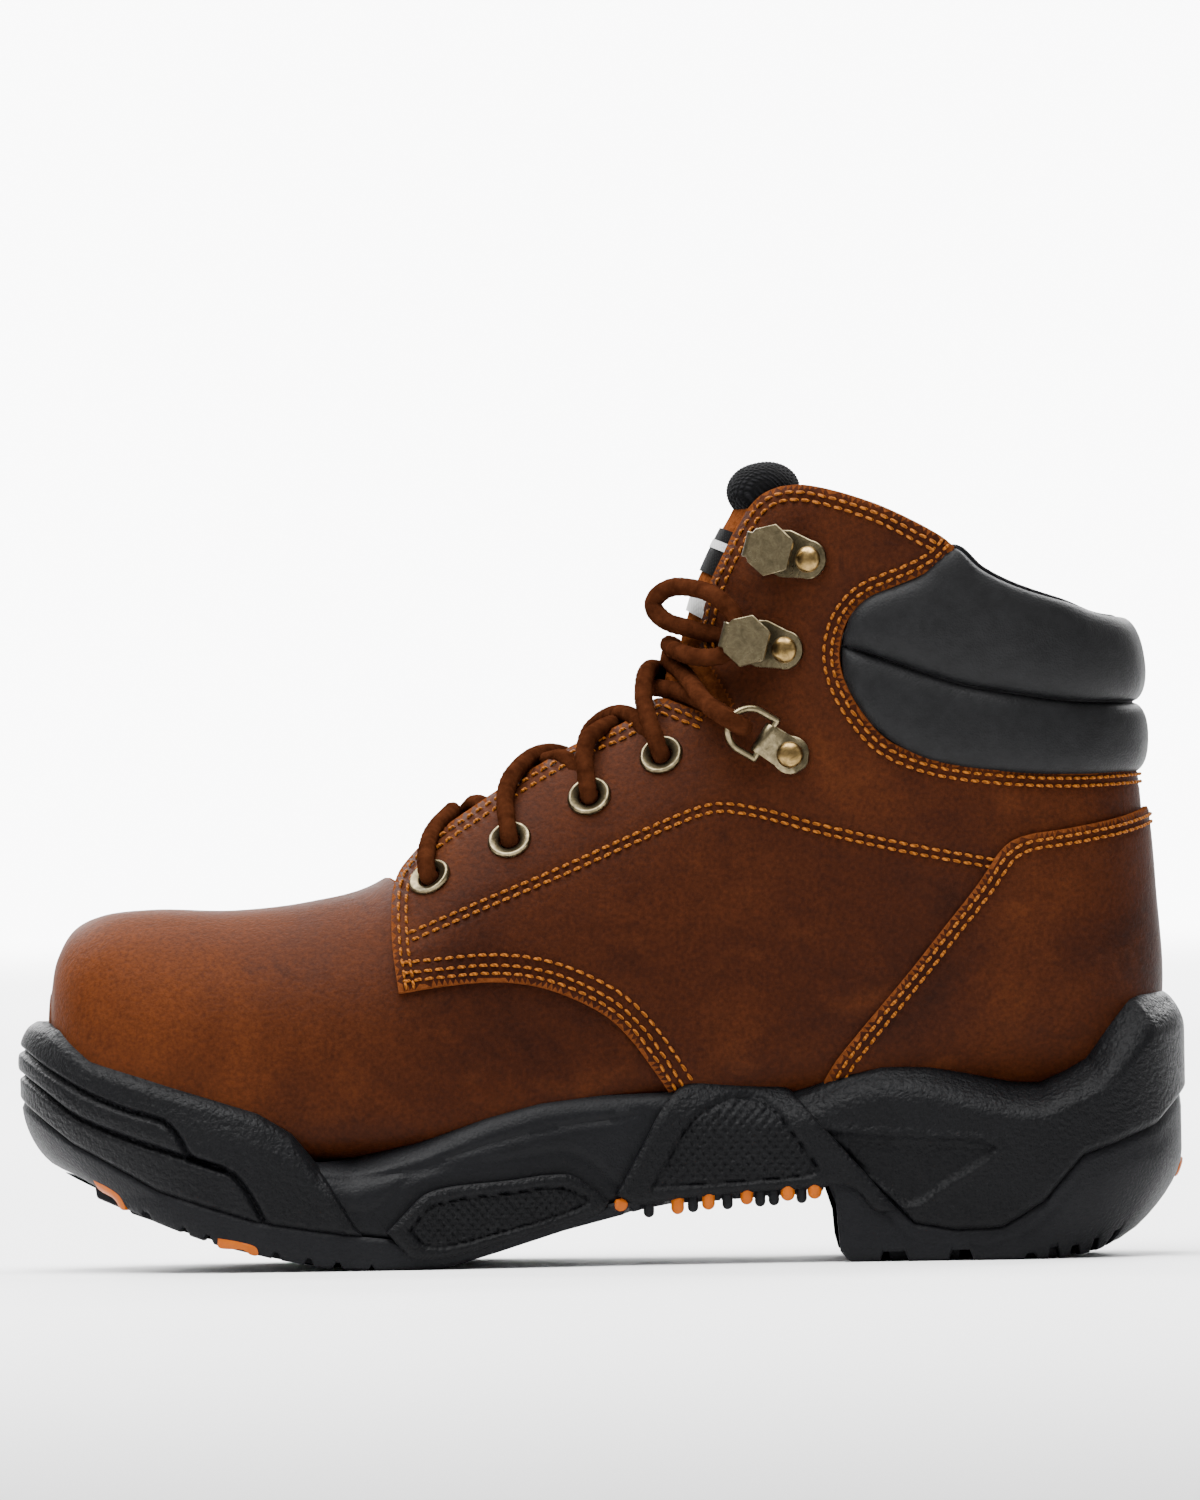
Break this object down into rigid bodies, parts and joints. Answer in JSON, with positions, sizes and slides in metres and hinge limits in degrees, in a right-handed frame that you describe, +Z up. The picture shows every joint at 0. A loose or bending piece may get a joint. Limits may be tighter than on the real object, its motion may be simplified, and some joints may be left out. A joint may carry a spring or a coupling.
{
  "type": "work boot",
  "caption": "Laced six-inch leather work boot with a steel toe cap, padded collar, speed hooks and a moulded lugged sole.",
  "frame": {"origin": "on the ground under the centre of the boot", "axes": "+Z up, toe towards -X, inner side of the foot towards -Y"},
  "size_m": [0.304, 0.1098, 0.2101],
  "materials": {
    "leather": "oiled nubuck, scuffed",
    "collar_leather": "matt synthetic leather",
    "knit": "ribbed knit",
    "textile": "mesh lining",
    "foam": "open foam",
    "label": "woven band",
    "board": "pressed fibre",
    "footbed_foam": "moulded foam with fabric top",
    "steel": "pressed sheet",
    "outsole_rubber": "matt moulded",
    "sole_polymer": "pebbled moulded",
    "orange_rubber": "smooth",
    "brass": "antique",
    "lace_cord": "round braid, waxed",
    "aglet": "clear brown sleeve",
    "stitching": "twisted thread"
  },
  "bodies": {
    "boot": {"aglet_lateral": "aglet", "aglet_medial": "aglet", "arch_panel_lateral": "outsole_rubber", "arch_panel_medial": "outsole_rubber", "arch_pegs": "orange_rubber", "collar_lining": "textile", "collar_pad_lower": "collar_leather", "collar_pad_upper": "collar_leather", "eyelets_lateral": "brass", "eyelets_medial": "brass", "forefoot_panel_lateral": "outsole_rubber", "forefoot_panel_medial": "outsole_rubber", "heel_counter_cover": "leather", "heel_stiffener": "board", "heel_wrap": "sole_polymer", "insole_board": "board", "lace": "lace_cord", "midsole": "sole_polymer", "outsole": "outsole_rubber", "quarter_lateral": "leather", "quarter_lining_lateral": "textile", "quarter_lining_medial": "textile", "quarter_medial": "leather", "ring_clip_lateral": "brass", "ring_clip_medial": "brass", "rivets_lateral": "brass", "rivets_medial": "brass", "speed_hooks_lateral": "brass", "speed_hooks_medial": "brass", "steel_shank": "steel", "steel_toe_cap": "steel", "toe_bumper": "sole_polymer", "toe_cap_edge_foam": "foam", "toe_lug_inserts": "orange_rubber", "tongue_label": "label", "tongue_leather": "leather", "tongue_padding": "foam", "tongue_roll": "knit", "vamp": "leather", "vamp_lining": "textile"},
    "footbed": {"footbed": "footbed_foam"},
    "d_ring_medial": {"d_ring_medial": "brass"},
    "d_ring_lateral": {"d_ring_lateral": "brass"}
  },
  "joints": [
    {"name": "footbed_lift", "type": "hinge", "parent": "boot", "child": "footbed", "pos_m": [-0.138, -0.004, 0.0345], "axis": [0, -1, 0], "range_deg": [0, 6]},
    {"name": "d_ring_medial_swing", "type": "hinge", "parent": "boot", "child": "d_ring_medial", "pos_m": [0.04422, -0.03211, 0.13669], "axis": [-0.5295, 0.0403, -0.8474], "range_deg": [-4, 4]},
    {"name": "d_ring_lateral_swing", "type": "hinge", "parent": "boot", "child": "d_ring_lateral", "pos_m": [0.04424, 0.03447, 0.13672], "axis": [0.5299, 0.0012, 0.848], "range_deg": [-4, 4]}
  ]
}
